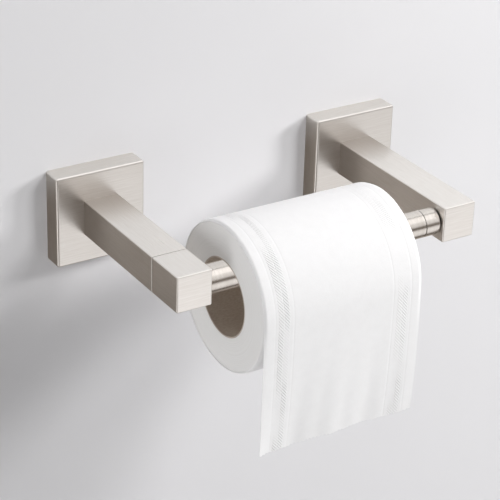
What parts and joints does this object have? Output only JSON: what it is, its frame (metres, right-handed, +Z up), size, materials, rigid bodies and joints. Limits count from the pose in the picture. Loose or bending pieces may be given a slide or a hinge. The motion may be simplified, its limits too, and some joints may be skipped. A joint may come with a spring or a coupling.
{
  "type": "toilet paper holder",
  "caption": "Wall-mounted square double-post toilet paper holder with a pivoting bar that lifts at one end, in brushed nickel, with a paper roll hanging on the bar.",
  "frame": {"origin": "on the wall's surface, midway between the centre lines of the two posts", "axes": "+Z up, +X along the bar from the pivoting post to the fixed one, +Y into the wall; the holder stands out towards -Y"},
  "size_m": [0.219, 0.1742, 0.1165],
  "materials": {
    "brushed_nickel": "brushed satin nickel plate",
    "satin_nickel": "satin nickel plate, nearly polished",
    "zinc_plated_steel": "bright zinc plate",
    "spring_steel": "bare spring steel",
    "black_steel": "black oxide",
    "die_cast_zinc": "as cast, matt",
    "bronze": "sintered, oiled",
    "grey_plastic": "moulded nylon",
    "cardboard": "wound grey-brown board",
    "tissue_paper": "soft embossed tissue"
  },
  "bodies": {
    "wall_side": {"left_wall_bracket": "zinc_plated_steel", "left_upper_wall_screw": "zinc_plated_steel", "left_lower_wall_screw": "zinc_plated_steel", "left_upper_wall_plug": "grey_plastic", "left_lower_wall_plug": "grey_plastic", "left_flange": "brushed_nickel", "left_flange_set_screw": "black_steel", "left_post_screw": "zinc_plated_steel", "left_post": "brushed_nickel", "right_wall_bracket": "zinc_plated_steel", "right_upper_wall_screw": "zinc_plated_steel", "right_lower_wall_screw": "zinc_plated_steel", "right_upper_wall_plug": "grey_plastic", "right_lower_wall_plug": "grey_plastic", "right_flange": "brushed_nickel", "right_flange_set_screw": "black_steel", "right_post_screw": "zinc_plated_steel", "right_post": "brushed_nickel", "pivot_housing": "die_cast_zinc", "pivot_bush": "bronze", "pivot_wave_washer": "spring_steel", "pivot_stop_pin": "spring_steel", "catch_seat": "die_cast_zinc"},
    "bar_arm": {"pivot_block": "brushed_nickel", "pivot_bolt": "zinc_plated_steel", "bar_stud": "zinc_plated_steel", "bar_insert": "die_cast_zinc", "bar_tube": "satin_nickel", "bar_end_cap": "satin_nickel", "catch_spring": "spring_steel", "catch_spring_plug": "die_cast_zinc"},
    "catch": {"catch_plunger": "spring_steel"},
    "sheet": {"loose_sheet": "tissue_paper"},
    "roll": {"roll_core": "cardboard", "paper_roll": "tissue_paper"}
  },
  "joints": [
    {"name": "bar_pivot", "type": "hinge", "parent": "wall_side", "child": "bar_arm", "pos_m": [-0.083, -0.087, 0], "axis": [0, -1, 0], "range_deg": [0, 90]},
    {"name": "catch_press", "type": "slide", "parent": "bar_arm", "child": "catch", "axis": [-1, 0, 0], "range_m": [0, 0.0012], "stiffness_N_per_m": 400, "springref_m": -0.002, "deforming": ["catch_spring"]},
    {"name": "roll_shift", "type": "slide", "parent": "bar_arm", "child": "sheet", "axis": [1, 0, 0], "range_m": [-0.0115, 0.0355]},
    {"name": "roll_spin", "type": "hinge", "parent": "sheet", "child": "roll", "pos_m": [-0.01235, -0.1035, -0.0135], "axis": [1, 0, 0], "continuous": true}
  ]
}
